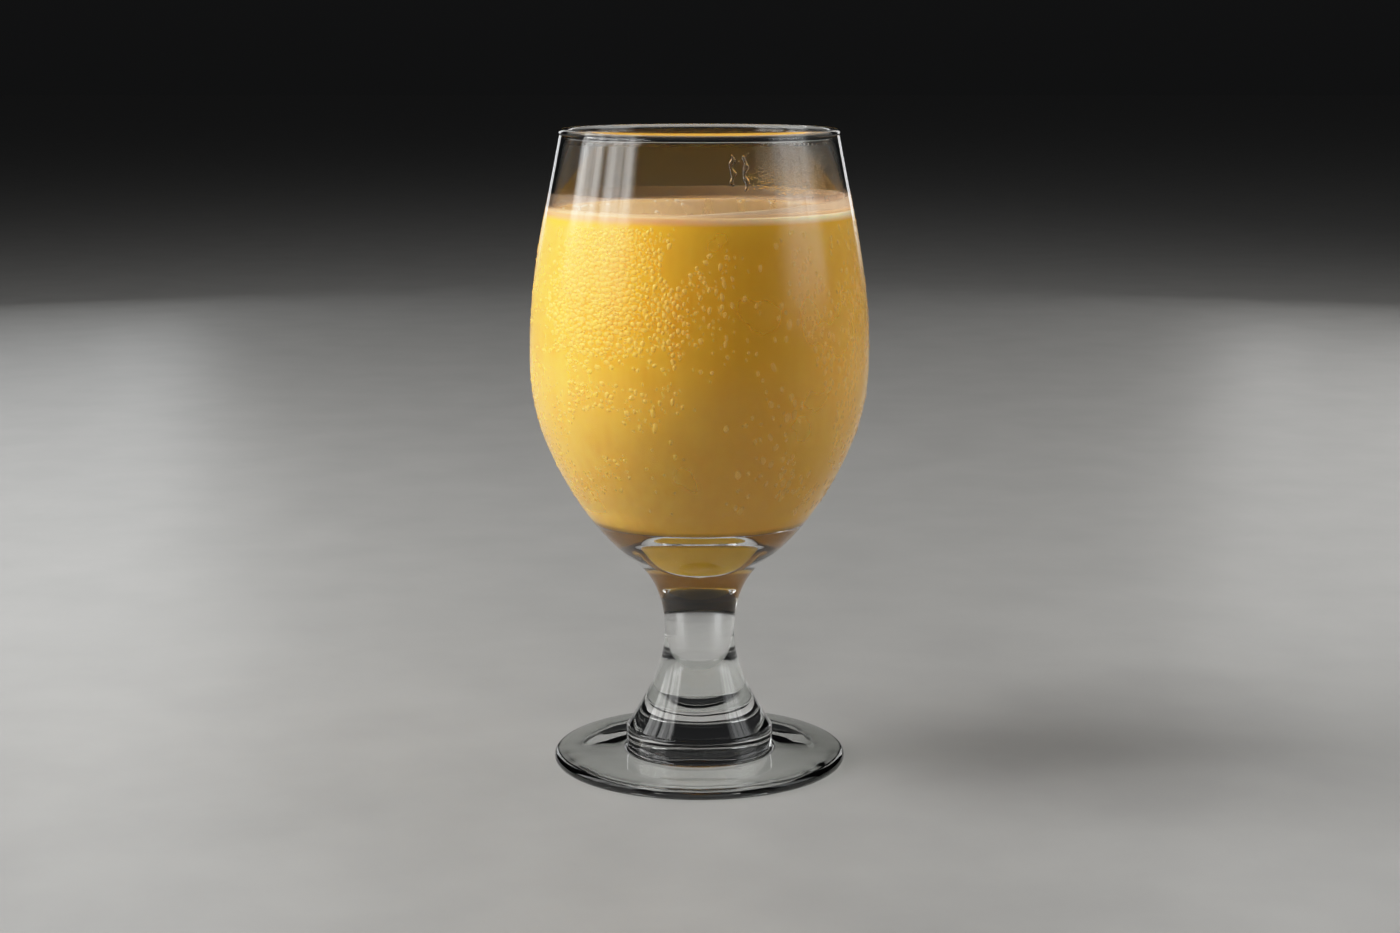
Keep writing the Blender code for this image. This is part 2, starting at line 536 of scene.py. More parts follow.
def side_colour(tree):
    """The colour of the drink against the glass, by its place, with painted light and shade in it.
    """
    place = place_of(tree)
    colour = mixed_colour(tree, drink_blotches(tree), SIDE_DEEP, SIDE_PALE)
    # Painted shade: the deeper stripe right of the middle
    sets_in = remapped(tree, place["X"], *SHADE_SETS_IN, 0.0, SHADE_STRENGTH)
    dies_away = remapped(tree, place["X"], *SHADE_DIES_AWAY, 1.0, SHADE_LEFT_OVER)
    shade = combined(tree, "MULTIPLY", sets_in, dies_away)
    colour = mixed_colour(tree, shade, colour, SHADE_COLOUR)
    to_right = remapped(tree, place["X"], *CREAM_PLACES, 0.0, 1.0)
    cream = mixed_colour(tree, to_right, CREAM_LEFT, CREAM_RIGHT_PAINTED_LIGHT)
    # Painted shade on the ledge, painted light in the pit and under the level, then the cream
    for heights, tint in (LEDGE_PAINTED_SHADE, PIT_PAINTED_LIGHT, GLOW_PAINTED_LIGHT, (CREAM_HEIGHTS, cream)):
        there = remapped(tree, place["Z"], *heights, 0.0, 1.0)
        colour = mixed_colour(tree, there, colour, tint)
    return colour


def drink_side_material():
    """Thick mango lassi against the glass. It only shines where light is trapped."""
    material, tree, shader = new_material("mango_lassi_against_glass")
    set_inputs(shader, {**DRINK_BODY, "Base Color": side_colour(tree), "Specular IOR Level": 0.0})
    edge = tree.nodes.new("ShaderNodeFresnel")
    set_inputs(edge, {"IOR": DRINK_IOR / GLASS_IOR})
    trapped = tree.nodes.new("ShaderNodeBsdfGlossy")
    set_inputs(trapped, {"Color": WHITE, "Roughness": WET_ROUGHNESS})
    bodies = (shader.outputs["BSDF"], trapped.outputs["BSDF"])
    show(tree, mixed_shaders(tree, edge.outputs["Fac"], *bodies))
    return material


def drink_top_material():
    """The open surface of the lassi, with a very fine grain, its colour darker than the side's as
    painted shade.
    """
    material, tree, shader = new_material("mango_lassi_top")
    colour = mixed_colour(tree, drink_blotches(tree), SHADED_TOP_DEEP, SHADED_TOP_PALE)
    set_inputs(shader, {**DRINK_BODY, "Base Color": colour, "IOR": DRINK_IOR})
    bumped(tree, shader, object_noise(tree, TOP_GRAIN, 4.0), TOP_GRAIN_HEIGHT)
    return material


# Films of drink on the glass

FILM_STREAKS = 260.0
FILM_STREAKS_DRAWN_OUT = (1.0, 1.0, 0.35)
FILM_PALER = 1.08
FILM_ROUGHNESS = 0.35
# From where the film thins out towards the back, and what is left there; the thinning is painted
# shade
FILM_BACK = (-0.02, 0.03)
FILM_BACK_SHARE = 0.25
# From where it thickens on its way from the left to the middle; the thin left is painted shade
FILM_LEFT = (-0.034, 0.0)
FROTH_FADE = (0.1406, 0.1415)


def film_material(name, colour, thin, thick, left_share, fade=None):
    """A smear of drink on the glass, in thicker and thinner streaks.

    It is thinner at the back, and its left side has only a share of the full density, both as
    painted shade. It fades between two heights if they are given.
    """
    material, tree, shader = new_material(name)
    streaks = object_noise(tree, FILM_STREAKS, 4.0, FILM_STREAKS_DRAWN_OUT)
    pale = tuple(min(1.0, FILM_PALER * channel) for channel in colour)
    paleness = remapped(tree, streaks, *NOISE_REACH, 0.0, 1.0)
    set_inputs(shader, {"Base Color": mixed_colour(tree, paleness, colour, pale)})
    place = place_of(tree)
    front = remapped(tree, place["Y"], *FILM_BACK, 1.0, FILM_BACK_SHARE)
    right = remapped(tree, place["X"], *FILM_LEFT, left_share, 1.0)
    streaked = remapped(tree, streaks, *NOISE_REACH, thin, thick)
    density = combined(tree, "MULTIPLY", combined(tree, "MULTIPLY", front, right), streaked)
    if fade:
        faded = remapped(tree, place["Z"], *fade, 1.0, 0.0)
        density = combined(tree, "MULTIPLY", density, faded)
    set_inputs(shader, {"Alpha": density, "Roughness": FILM_ROUGHNESS, "IOR": DRINK_IOR})
    return material


# Water and bubbles

WATER_SHADOW = (0.93, 0.93, 0.93)
WATER_GRAIN = 700.0
WATER_ROUGHNESS = 0.03
DEW_MOTTLING = 500.0
DEW_DEEP = (0.95, 0.60, 0.11)
DEW_PALE = (0.98, 0.67, 0.17)
# On the right the dew is paler and more see-through, as painted light
DEW_RIGHT = (-0.010, 0.020)
DEW_RIGHT_PAINTED_LIGHT = (1.0, 0.62, 0.27)
DEW_RIGHT_STRENGTH = 0.7
DEW_RIGHT_OPACITY = 0.6
BUBBLE_MOTTLING = 800.0
BUBBLE_DEEP = (0.98, 0.86, 0.58)
BUBBLE_PALE = (1.00, 0.93, 0.72)
BUBBLE_OPACITY = 0.92
BUBBLE_ROUGHNESS = 0.08


def mottled_colour(tree, scale, first, second, detail=2.0):
    """A colour that varies between two others in soft spots."""
    spots = remapped(tree, object_noise(tree, scale, detail), *NOISE_MIDDLE, 0.0, 1.0)
    return mixed_colour(tree, spots, first, second)


def water_material():
    """Clear water."""
    material, tree, shader = new_material("dew_water")
    grain = object_noise(tree, WATER_GRAIN, 1.0)
    grain = remapped(tree, grain, *NOISE_MIDDLE, 0.0, WATER_ROUGHNESS)
    clear = {"Transmission Weight": 1.0, "IOR": WATER_IOR}
    set_inputs(shader, {"Base Color": WHITE, "Roughness": grain, **clear})
    let_lamps_through(tree, shader.outputs["BSDF"], WATER_SHADOW)
    return material


def dew_material(name, opacity, roughness):
    """Drops of water over the drink: they show its colour, lighter as painted light for the light
    that they focus on it, and shine.
    """
    material, tree, shader = new_material(name)
    right = place_of(tree)["X"]
    colour = mottled_colour(tree, DEW_MOTTLING, DEW_DEEP, DEW_PALE)
    # Painted light: paler dew on the right
    paler = remapped(tree, right, *DEW_RIGHT, 0.0, DEW_RIGHT_STRENGTH)
    colour = mixed_colour(tree, paler, colour, DEW_RIGHT_PAINTED_LIGHT)
    alpha = remapped(tree, right, *DEW_RIGHT, opacity, DEW_RIGHT_OPACITY * opacity)
    set_inputs(shader, {"Base Color": colour, "Alpha": alpha})
    set_inputs(shader, {"Roughness": roughness, "IOR": WATER_IOR})
    return material


def bubble_material():
    """Thin-skinned bubbles of the drink."""
    material, tree, shader = new_material("bubble_skin")
    colour = mottled_colour(tree, BUBBLE_MOTTLING, BUBBLE_DEEP, BUBBLE_PALE)
    set_inputs(shader, {"Base Color": colour, "Alpha": BUBBLE_OPACITY})
    set_inputs(shader, {"Roughness": BUBBLE_ROUGHNESS, "IOR": WATER_IOR})
    return material


GLASS = glass_material()
WATER = water_material()
DRINK_SIDE = drink_side_material()
DRINK_TOP = drink_top_material()
FILM = film_material("dried_film", (0.75, 0.53, 0.375), thin=0.26, thick=0.52, left_share=0.24)
THICK_FILM = film_material(
    "thick_film", (0.98, 0.78, 0.58), thin=0.46, thick=0.62, left_share=1.0
)
FROTH = film_material(
    "pale_froth", (0.97, 0.64, 0.36), thin=0.78, thick=1.0, left_share=0.60, fade=FROTH_FADE
)
DEW = dew_material("dew_over_drink", opacity=0.46, roughness=0.20)
FINE_DEW = dew_material("fine_dew_over_drink", opacity=0.32, roughness=0.35)
BUBBLE = bubble_material()


# Goblet and drink


def tight_joint(before, after):
    """Two points close to a corner between them, so that its shading stays crisp."""
    share = JOINT_LENGTH / math.dist(before, after)
    first = tuple(near + (far - near) * share for near, far in zip(before, after))
    last = tuple(far + (near - far) * share for near, far in zip(before, after))
    return [first, last]


def make_goblet():
    """The whole goblet, finely turned."""
    bead = rim_outline()
    outline = foot_outline() + OUTER + tight_joint(OUTER[-1], bead[0])
    outline += bead + tight_joint(bead[-1], INNER[0]) + INNER
    vertices, faces = turned(outline, GLASS_SEGMENTS)
    add_piece("goblet_glass", vertices, faces, [GLASS], "goblet")


def drink_outline():
    """The drink in half section, and how many of its points come before the top.

    It runs from the floor of the pit up along the glass, then over the top to the axis.
    """
    brim = LEVEL_HEIGHT + MENISCUS_RISE
    side = []
    for before, here, after in zip(INNER[:-2], INNER[1:-1], INNER[2:]):
        heading = math.atan2(after[1] - before[1], after[0] - before[0])
        point = step_along(here, heading + UP, DRINK_OVERLAP)
        if point[1] < brim - BRIM_ROOM:
            side.append(point)
    side.append((0.0, DIMPLE_HEIGHT - DRINK_OVERLAP))
    side.reverse()
    side.append((inner_radius(brim) + DRINK_OVERLAP, brim))
    wall = inner_radius(LEVEL_HEIGHT)
    top = []
    for share in np.linspace(0.0, 1.0, TOP_RINGS):
        away = wall * share ** RING_CROWDING
        height = LEVEL_HEIGHT + MENISCUS_RISE * math.exp(-away / MENISCUS_REACH)
        top.append((max(0.0, wall - away), height))
    return side + top, len(side)


def make_drink():
    """The drink up to its level, with a raised edge and faint ripples on top."""
    outline, side_points = drink_outline()
    vertices, faces = turned(outline, DRINK_SEGMENTS)
    rippled = []
    for x, y, z in vertices:
        away = inner_radius(LEVEL_HEIGHT) - math.hypot(x, y)
        if z > LEVEL_HEIGHT - TOP_DEPTH and away > 0.0:
            calm = 1.0 - math.exp(-away / CALM_MARGIN)
            z += TOP_RIPPLE * calm * noise.noise(Vector((x, y, 0.0)) * RIPPLES_PER_METRE)
        rippled.append((x, y, z))
    materials = [DRINK_SIDE, DRINK_TOP]
    piece = add_piece("lassi_drink", rippled, faces, materials, "lassi")
    for index, polygon in enumerate(piece.data.polygons):
        ring = index // DRINK_SEGMENTS
        polygon.material_index = 1 if ring >= side_points - 1 else 0
    piece.data.set_sharp_from_angle(angle=BRIM_ANGLE)


# Films above the level, with their azimuths in degrees

# How far each band reaches into the wall
FILM_SINK = 0.00003
TIDE_SINK = 0.00005
FROTH_SINK = 0.00007
BAND_STEPS = 240
BAND_ROWS = 8
BAND_FOOT = LEVEL_HEIGHT - 0.3 * MM
WHOLE_TURN = (0.0, 360.0)
FILM_TOP = 0.1443
FILM_TOP_RISE = 0.0006
# The second tide rises from left to right, between two azimuths
SECOND_TIDE = (-14.0, 96.0)
SECOND_TIDE_FOOT = 0.9 * MM
SECOND_TIDE_RISE = 3.6 * MM
FROTH_TOP_WAVES = 0.15 * MM


def wall_band(name, sink, azimuths, upper, thickness, material):
    """A closed band on the inside wall, thin enough to let the light through.

    It runs from one azimuth to another. upper gives its top's height at an azimuth, and
    thickness takes the azimuth and the share of the way up.
    """
    first, last = azimuths
    closed = azimuths == WHOLE_TURN
    count = BAND_STEPS if closed else BAND_STEPS + 1
    vertices = []
    for step in range(count):
        azimuth = first + (last - first) * step / BAND_STEPS
        angle = math.radians(azimuth)
        high = upper(azimuth)
        for row in range(BAND_ROWS + 1):
            height = BAND_FOOT + (high - BAND_FOOT) * row / BAND_ROWS
            vertices.append(around(angle, inner_radius(height) + sink, height))
        for row in range(BAND_ROWS, -1, -1):
            share = row / BAND_ROWS
            height = BAND_FOOT + (high - BAND_FOOT) * share
            stand = thickness(azimuth, share)
            vertices.append(around(angle, inner_radius(height) - stand, height))
    loop = 2 * (BAND_ROWS + 1)
    faces = []
    for step in range(count if closed else count - 1):
        here = step * loop
        there = ((step + 1) % count) * loop
        for corner in range(loop):
            after = (corner + 1) % loop
            faces.append((here + corner, there + corner, there + after, here + after))
    if not closed:
        faces.append(tuple(range(loop)))
        faces.append(tuple(range((count - 1) * loop, count * loop))[::-1])
    band = add_piece(name, vertices, faces, [material])
    band.visible_shadow = False


def wobble(azimuth, seed, sharpness=2.0):
    """A smooth value between about -1 and 1 that closes up round the glass."""
    angle = math.radians(azimuth)
    place = Vector((sharpness * math.sin(angle), sharpness * math.cos(angle), seed))
    return 2.0 * noise.noise(place)


def film_top(azimuth):
    """Height of the film's upper edge, a little higher in front."""
    higher_in_front = FILM_TOP_RISE * math.cos(math.radians(azimuth))
    wide_waves = 0.25 * wobble(azimuth, seed=3.0)
    fine_waves = 0.08 * wobble(azimuth, seed=9.0, sharpness=9.0)
    return FILM_TOP + higher_in_front + (wide_waves + fine_waves) * MM


def film_thickness(azimuth, share):
    """Thickness of the film, which thins out upwards."""
    uneven = 0.02 * MM * wobble(azimuth, seed=5.0, sharpness=6.0)
    return 0.10 * MM * (1.0 - 0.55 * share) + uneven


def tide_top(azimuth):
    """Height of the second tide's upper edge."""
    first, last = SECOND_TIDE
    share = (azimuth - first) / (last - first)
    return LEVEL_HEIGHT + SECOND_TIDE_FOOT + SECOND_TIDE_RISE * share ** 0.8


def tide_thickness(azimuth, share):
    """Thickness of the second tide, the same all along it."""
    return 0.14 * MM + 0.05 * MM * (1.0 - share)


def froth_top(azimuth):
    """Height of the froth line's upper edge."""
    return FROTH_FADE[1] + FROTH_TOP_WAVES * wobble(azimuth, seed=14.0, sharpness=3.0)


def froth_thickness(azimuth, share):
    """Thickness of the froth, which leans on the wall like a fillet."""
    uneven = 0.06 * wobble(azimuth, seed=21.0, sharpness=12.0)
    return (0.16 + 0.75 * (1.0 - share) ** 2 + uneven) * MM


def make_films():
    """The film that the drink left as it was poured, and the pale line at the level."""
    wall_band("film_on_glass", FILM_SINK, WHOLE_TURN, film_top, film_thickness, FILM)
    wall_band("film_second_tide", TIDE_SINK, SECOND_TIDE, tide_top, tide_thickness, THICK_FILM)
    wall_band("froth_line", FROTH_SINK, WHOLE_TURN, froth_top, froth_thickness, FROTH)


# Bubbles

BUBBLE_SEED = 41
# (x, y, radius) on the surface of the drink, in millimetres, of the three that stand alone
LONE_BUBBLES = ((-5.9, 32.6, 0.70), (-4.3, 20.0, 0.55), (-10.4, -6.7, 0.50))
BUBBLE_COUNT = 46
BUBBLE_RADII = (0.18, 0.55)
# The others keep off the wall by this, and thin out inwards from there
BUBBLE_MARGIN = 1.1 * MM
BUBBLE_SCATTER = 1.4 * MM
# Azimuths in degrees round which they gather, and how far they stray
BUBBLE_CLUSTERS = (-130.0, -40.0, 60.0, 150.0)
BUBBLE_STRAY = 22.0
BUBBLE_LIFT = 0.15
BUBBLE_RINGS = 6
BUBBLE_SIDES = 12


def add_sphere(centre, radius, vertices, faces):
    """Add one closed sphere to the lists."""
    base = len(vertices)
    vertices.append((centre[0], centre[1], centre[2] - radius))
    for ring in range(1, BUBBLE_RINGS):
        tilt = math.pi * ring / BUBBLE_RINGS
        height = centre[2] - radius * math.cos(tilt)
        for side in range(BUBBLE_SIDES):
            angle = math.tau * side / BUBBLE_SIDES
            x = centre[0] + radius * math.sin(tilt) * math.cos(angle)
            y = centre[1] + radius * math.sin(tilt) * math.sin(angle)
            vertices.append((x, y, height))
    top = len(vertices)
    vertices.append((centre[0], centre[1], centre[2] + radius))
    for side in range(BUBBLE_SIDES):
        after = (side + 1) % BUBBLE_SIDES
        faces.append((base, base + 1 + after, base + 1 + side))
        for ring in range(BUBBLE_RINGS - 2):
            row = base + 1 + ring * BUBBLE_SIDES
            above = row + BUBBLE_SIDES
            faces.append((row + side, row + after, above + after, above + side))
        last = base + 1 + (BUBBLE_RINGS - 2) * BUBBLE_SIDES
        faces.append((last + side, last + after, top))


def make_bubbles():
    """Small bubbles on the drink: three alone, the rest gathered along the edge."""
    draw = random.Random(BUBBLE_SEED)
    wall = inner_radius(LEVEL_HEIGHT)
    placed = [(x * MM, y * MM, radius * MM) for x, y, radius in LONE_BUBBLES]
    while len(placed) < BUBBLE_COUNT:
        radius = draw.uniform(*BUBBLE_RADII) * MM
        away = BUBBLE_MARGIN + radius + draw.expovariate(1.0 / BUBBLE_SCATTER)
        azimuth = math.radians(draw.choice(BUBBLE_CLUSTERS) + draw.gauss(0.0, BUBBLE_STRAY))
        x, y, _ = around(azimuth, wall - away, 0.0)
        if all(math.dist((x, y), other[:2]) > radius + other[2] for other in placed):
            placed.append((x, y, radius))
    vertices = []
    faces = []
    for x, y, radius in placed:
        add_sphere((x, y, LEVEL_HEIGHT + BUBBLE_LIFT * radius), radius, vertices, faces)
    add_piece("bubbles", vertices, faces, [BUBBLE])


# Dew on the outside of the glass

DEW_SEED = 77
# How far the edge of a drop lies under the surface of the glass
DEW_SINK = 0.00002
# Size of a cell of the grid that finds a drop's neighbours, and how close they may come
CELL = 2.2 * MM
CLOSENESS = 0.86
# The most that a drop's outline swells and that its lower half hangs down, as shares
DROP_SWELL = 0.13
DROP_SAG = 0.25
SLOPE_STEP = 0.2 * MM


def surface_point(azimuth, height, stand):
    """A point at a distance off the outside wall."""
    rise = outer_radius(height + SLOPE_STEP) - outer_radius(height - SLOPE_STEP)
    slope = rise / (2.0 * SLOPE_STEP)
    length = math.hypot(1.0, slope)
    radius = outer_radius(height) + stand / length
    return around(azimuth, radius, height - stand * slope / length)


def inside_box(point):
    """The point, held inside the part's own box."""
    return tuple(min(max(point[axis], cad_low[axis]), cad_high[axis]) for axis in range(3))


class Dew:
    """Drops that don't overlap, gathered in one mesh."""

    def __init__(self):
        self.grid = {}
        self.vertices = []
        self.faces = []

    def key(self, azimuth, height):
        """The cell of the grid that holds a place."""
        along = azimuth * outer_radius(height)
        return (int(along // CELL), int(height // CELL))

    def free(self, azimuth, height, reach):
        """True if no drop is already within reach."""
        column, row = self.key(azimuth, height)
        radius = outer_radius(height)
        for near_column in (column - 1, column, column + 1):
            for near_row in (row - 1, row, row + 1):
                for other in self.grid.get((near_column, near_row), ()):
                    other_azimuth, other_height, other_reach = other
                    across = (azimuth - other_azimuth) * radius
                    apart = math.hypot(across, height - other_height)
                    if apart < CLOSENESS * (reach + other_reach):
                        return False
        return True

    def add(self, draw, azimuth, height, wide, tall, rise, lean, sides, rings):
        """Add one flattened drop, wide and tall as half sizes, unless its place is taken."""
        reach = 0.5 * (wide + tall)
        if not self.free(azimuth, height, reach):
            return
        self.grid.setdefault(self.key(azimuth, height), []).append((azimuth, height, reach))
        swells = []
        for order in (2, 3, 4):
            size = draw.uniform(0.0, DROP_SWELL) / order
            swells.append((order, size, draw.uniform(0.0, math.tau)))
        sag = draw.uniform(0.0, DROP_SAG)

        def place(share, angle, stand):
            swell = 1.0 + sum(size * math.cos(order * angle + turn) for order, size, turn in swells)
            across = wide * share * swell * math.cos(angle)
            up = tall * share * swell * math.sin(angle)
            if up < 0.0:
                up *= 1.0 + sag
            turned_by = (across + lean * up) / outer_radius(height)
            return inside_box(surface_point(azimuth + turned_by, height + up, stand))

        base = len(self.vertices)
        self.vertices.append(place(0.0, 0.0, rise))
        for ring in range(1, rings + 1):
            share = math.sin(0.5 * math.pi * ring / rings)
            stand = (rise + DEW_SINK) * (1.0 - share * share) - DEW_SINK
            for side in range(sides):
                self.vertices.append(place(share, math.tau * side / sides, stand))
        for side in range(sides):
            after = (side + 1) % sides
            self.faces.append((base, base + 1 + side, base + 1 + after))
            for ring in range(rings - 1):
                inner = base + 1 + ring * sides
                outer = inner + sides
                self.faces.append((inner + side, outer + side, outer + after, inner + after))


# A zone of dew: middle and half width in degrees, centre and half height in millimetres,
# range of the drops' half sizes in millimetres, number of tries, how much taller than wide
# the drops are, and how bare the gaps between clumps are
Zone = namedtuple(
    "Zone", "middle half_width centre half_height smallest largest tries tallness bareness"
)
ZONES = {
    "wet patch": Zone(-39.0, 13.0, 122.5, 9.5, 0.44, 0.95, 5200, 0.70, 0.12),
    "wet patch inner": Zone(-17.0, 12.0, 122.0, 10.0, 0.28, 0.66, 1100, 1.10, 0.0),
    "wet patch top": Zone(-27.0, 9.0, 134.5, 3.0, 0.28, 0.52, 600, 0.90, 0.10),
    "wet patch edge": Zone(-7.0, 8.0, 129.0, 8.0, 0.26, 0.52, 170, 1.30, 0.15),
    "middle drops": Zone(6.0, 10.0, 122.0, 13.0, 0.26, 0.56, 90, 1.60, 0.30),
    "lower left": Zone(-37.0, 12.0, 96.0, 5.0, 0.30, 0.85, 170, 0.85, 0.35),
    "lower middle": Zone(-13.0, 6.0, 95.0, 5.0, 0.28, 0.70, 44, 1.50, 0.30),
    "left flank": Zone(-52.0, 20.0, 80.0, 10.0, 0.32, 0.58, 260, 0.95, 0.40),
    "right flank": Zone(56.0, 30.0, 102.0, 32.0, 0.42, 0.80, 850, 1.35, 0.30),
    "back patch": Zone(148.0, 28.0, 117.0, 18.0, 0.30, 0.80, 3400, 1.00, 0.35),
    "back flank": Zone(-122.0, 46.0, 102.0, 34.0, 0.30, 0.58, 2200, 1.15, 0.35),
    "everywhere": Zone(0.0, 180.0, 101.0, 34.0, 0.34, 0.56, 700, 1.15, 0.45),
}
DEW_HEIGHTS = (0.0665, 0.1385)
# Fine grain of water on the clear wall, right of the middle
CLEAR_WALL_MIST = Zone(38.0, 13.0, 151.0, 5.0, 0.13, 0.26, 2600, 1.10, 0.10)
CLEAR_WALL_HEIGHTS = (0.1452, 0.1575)

# Half size in millimetres from which a drop is a big one, and what sets the two kinds apart
BIG_DROP = 0.42
BIG_DROP_RISE = (0.24, 0.34)
FINE_DROP_RISE = (0.12, 0.18)
BIG_DROP_FACETS = {"sides": 12, "rings": 4}
FINE_DROP_FACETS = {"sides": 9, "rings": 3}
SMALL_DROP_BIAS = 2.2
SOFT_EDGE = 0.35
TALLNESS_SPREAD = (0.85, 1.15)
DROP_LEAN = 0.25
CLUMPS_PER_METRE = 95.0


def soft_place(draw, middle, half):
    """A place in a range whose ends thin out."""
    return middle + half * (draw.uniform(-1.0, 1.0) + draw.gauss(0.0, SOFT_EDGE))


def drop_sizes(zone, draw):
    """The half sizes to try in a zone, in millimetres, the largest first."""
    span = zone.largest - zone.smallest
    sizes = []
    for _ in range(zone.tries):
        sizes.append(zone.smallest + span * draw.random() ** SMALL_DROP_BIAS)
    return sorted(sizes, reverse=True)


def sprinkle(zone, draw, big, fine, heights):
    """Try drops all over one zone, the largest first, between two heights."""
    foot, top = heights
    for size in drop_sizes(zone, draw):
        azimuth = math.radians(soft_place(draw, zone.middle, zone.half_width))
        height = soft_place(draw, zone.centre, zone.half_height) * MM
        wide = size * MM
        tall = wide * draw.uniform(*TALLNESS_SPREAD) * zone.tallness
        is_big = size > BIG_DROP
        rise = min(wide, tall) * draw.uniform(*(BIG_DROP_RISE if is_big else FINE_DROP_RISE))
        lean = draw.uniform(-DROP_LEAN, DROP_LEAN)
        place = Vector(around(azimuth, outer_radius(height), height))
        clump = noise.noise(place * CLUMPS_PER_METRE)
        if clump < zone.bareness - 0.5 or height < foot + tall or height > top - tall:
            continue
        if is_big and fine.free(azimuth, height, wide):
            big.add(draw, azimuth, height, wide, tall, rise, lean, **BIG_DROP_FACETS)
        elif not is_big and big.free(azimuth, height, wide):
            fine.add(draw, azimuth, height, wide, tall, rise, lean, **FINE_DROP_FACETS)


# Runs on the clear wall above the level: azimuth in degrees, then top and foot in millimetres
CLEAR_WALL_RUNS = ((12.3, 155.2, 147.8), (17.3, 155.0, 146.6))
RUN_ROWS = 24
RUN_COLUMNS = 6
RUN_HALF_WIDTH = 0.55 * MM
RUN_RISE = 0.22 * MM
RUN_LEAST_WIDTH = 0.02 * MM
# How a run swells and sways: by how much, and how fast along its half length
RUN_SWELL = 0.35
RUN_SWELL_PACE = 9.0
RUN_SWAY = 0.30 * MM
RUN_SWAY_PACE = 6.5
RUN_UNDERSIDE = 0.96


def add_run(dew, draw, azimuth, top, foot):
    """One long wavy run of water on the outside wall."""
    turn = draw.uniform(0.0, math.tau)
    base = len(dew.vertices)
    sides = [-1.0 + 2.0 * step / RUN_COLUMNS for step in range(RUN_COLUMNS + 1)]
    for row in range(RUN_ROWS + 1):
        share = -1.0 + 2.0 * row / RUN_ROWS
        height = 0.5 * (top + foot) + 0.5 * (top - foot) * share
        taper = math.sqrt(max(0.0, 1.0 - share ** 4))
        swell = 1.0 + RUN_SWELL * math.sin(RUN_SWELL_PACE * share + turn)
        width = max(RUN_LEAST_WIDTH, RUN_HALF_WIDTH * taper * swell)
        centre = RUN_SWAY * math.sin(RUN_SWAY_PACE * share + turn)
        radius = outer_radius(height)
        for side in sides:
            stand = RUN_RISE * taper * (1.0 - side * side)
            angle = azimuth + (centre + width * side) / radius
            dew.vertices.append(inside_box(surface_point(angle, height, stand)))
        for side in reversed(sides):
            angle = azimuth + (centre + RUN_UNDERSIDE * width * side) / radius
            dew.vertices.append(inside_box(surface_point(angle, height, -DEW_SINK)))
    loop = 2 * (RUN_COLUMNS + 1)
    for row in range(RUN_ROWS):
        here = base + row * loop
        there = here + loop
        for corner in range(loop):
            after = (corner + 1) % loop
            dew.faces.append((here + corner, here + after, there + after, there + corner))
    dew.faces.append(tuple(range(base, base + loop))[::-1])
    dew.faces.append(tuple(range(base + RUN_ROWS * loop, base + (RUN_ROWS + 1) * loop)))


def make_dew():
    """Large and fine drops, which let the light on to the drink, and the runs."""
    draw = random.Random(DEW_SEED)
    big = Dew()
    fine = Dew()
    for zone in ZONES.values():
        sprinkle(zone, draw, big, fine, DEW_HEIGHTS)
    drops = add_piece("dew_drops", big.vertices, big.faces, [DEW])
    mist = add_piece("dew_mist", fine.vertices, fine.faces, [FINE_DEW])
    for water in (drops, mist):
        water.visible_shadow = False
    clear = Dew()
    sprinkle(CLEAR_WALL_MIST, draw, Dew(), clear, CLEAR_WALL_HEIGHTS)
    for azimuth, top, foot in CLEAR_WALL_RUNS:
        add_run(clear, draw, math.radians(azimuth), top * MM, foot * MM)
    add_piece("clear_wall_drops", clear.vertices, clear.faces, [WATER])


# Floor

FLOOR_SIZE = 16.0
FLOOR_DROP = 0.0001
FLOOR_MOTTLING = 30.0
FLOOR_DEEP = (0.275, 0.273, 0.268)
FLOOR_PALE = (0.305, 0.302, 0.296)
FLOOR_ROUGHNESS = 0.45


def floor_material():
    """A pale matt table top with the faintest mottling."""
    material, tree, shader = new_material("pale_floor")
    colour = mottled_colour(tree, FLOOR_MOTTLING, FLOOR_DEEP, FLOOR_PALE, detail=5.0)
    set_inputs(shader, {"Base Color": colour, "Roughness": FLOOR_ROUGHNESS})
    return material


def make_floor():
    """A plain pale floor, a hair under the foot."""
    half = 0.5 * FLOOR_SIZE
    mesh = bpy.data.meshes.new("floor")
    corners = [(-half, -half, 0.0), (half, -half, 0.0), (half, half, 0.0), (-half, half, 0.0)]
    mesh.from_pydata(corners, [], [(0, 1, 2, 3)])
    mesh.materials.append(floor_material())
    floor = new_object("floor", mesh)
    floor.location.z = -FLOOR_DROP


# Lights

DAYLIGHT = (1.0, 1.0, 0.99)
COOL_LIGHT = (0.97, 0.99, 1.0)
WARM_LIGHT = (1.0, 0.97, 0.93)
# Shares of a lamp's width and height over which it fades towards its edges
SIDE_FADE = 0.12
WIDE_SIDE_FADE = 0.45
FOOT_FADE = 0.12
HEAD_FADE = 0.18
# Folds of a curtain: how many, the noise values between them, and their light
FOLDS = 6.0
FOLD_NOISE = (0.35, 0.65)
FOLD_LIGHT = (0.40, 1.60)

# A lamp: azimuth and width in degrees as seen from the glass, heights of its ends, distance,
# radiance, colour, and the fade of its sides
LAMP_FIELDS = "name azimuth width low high distance radiance colour side_fade"
Lamp = namedtuple("Lamp", LAMP_FIELDS, defaults=(SIDE_FADE,))
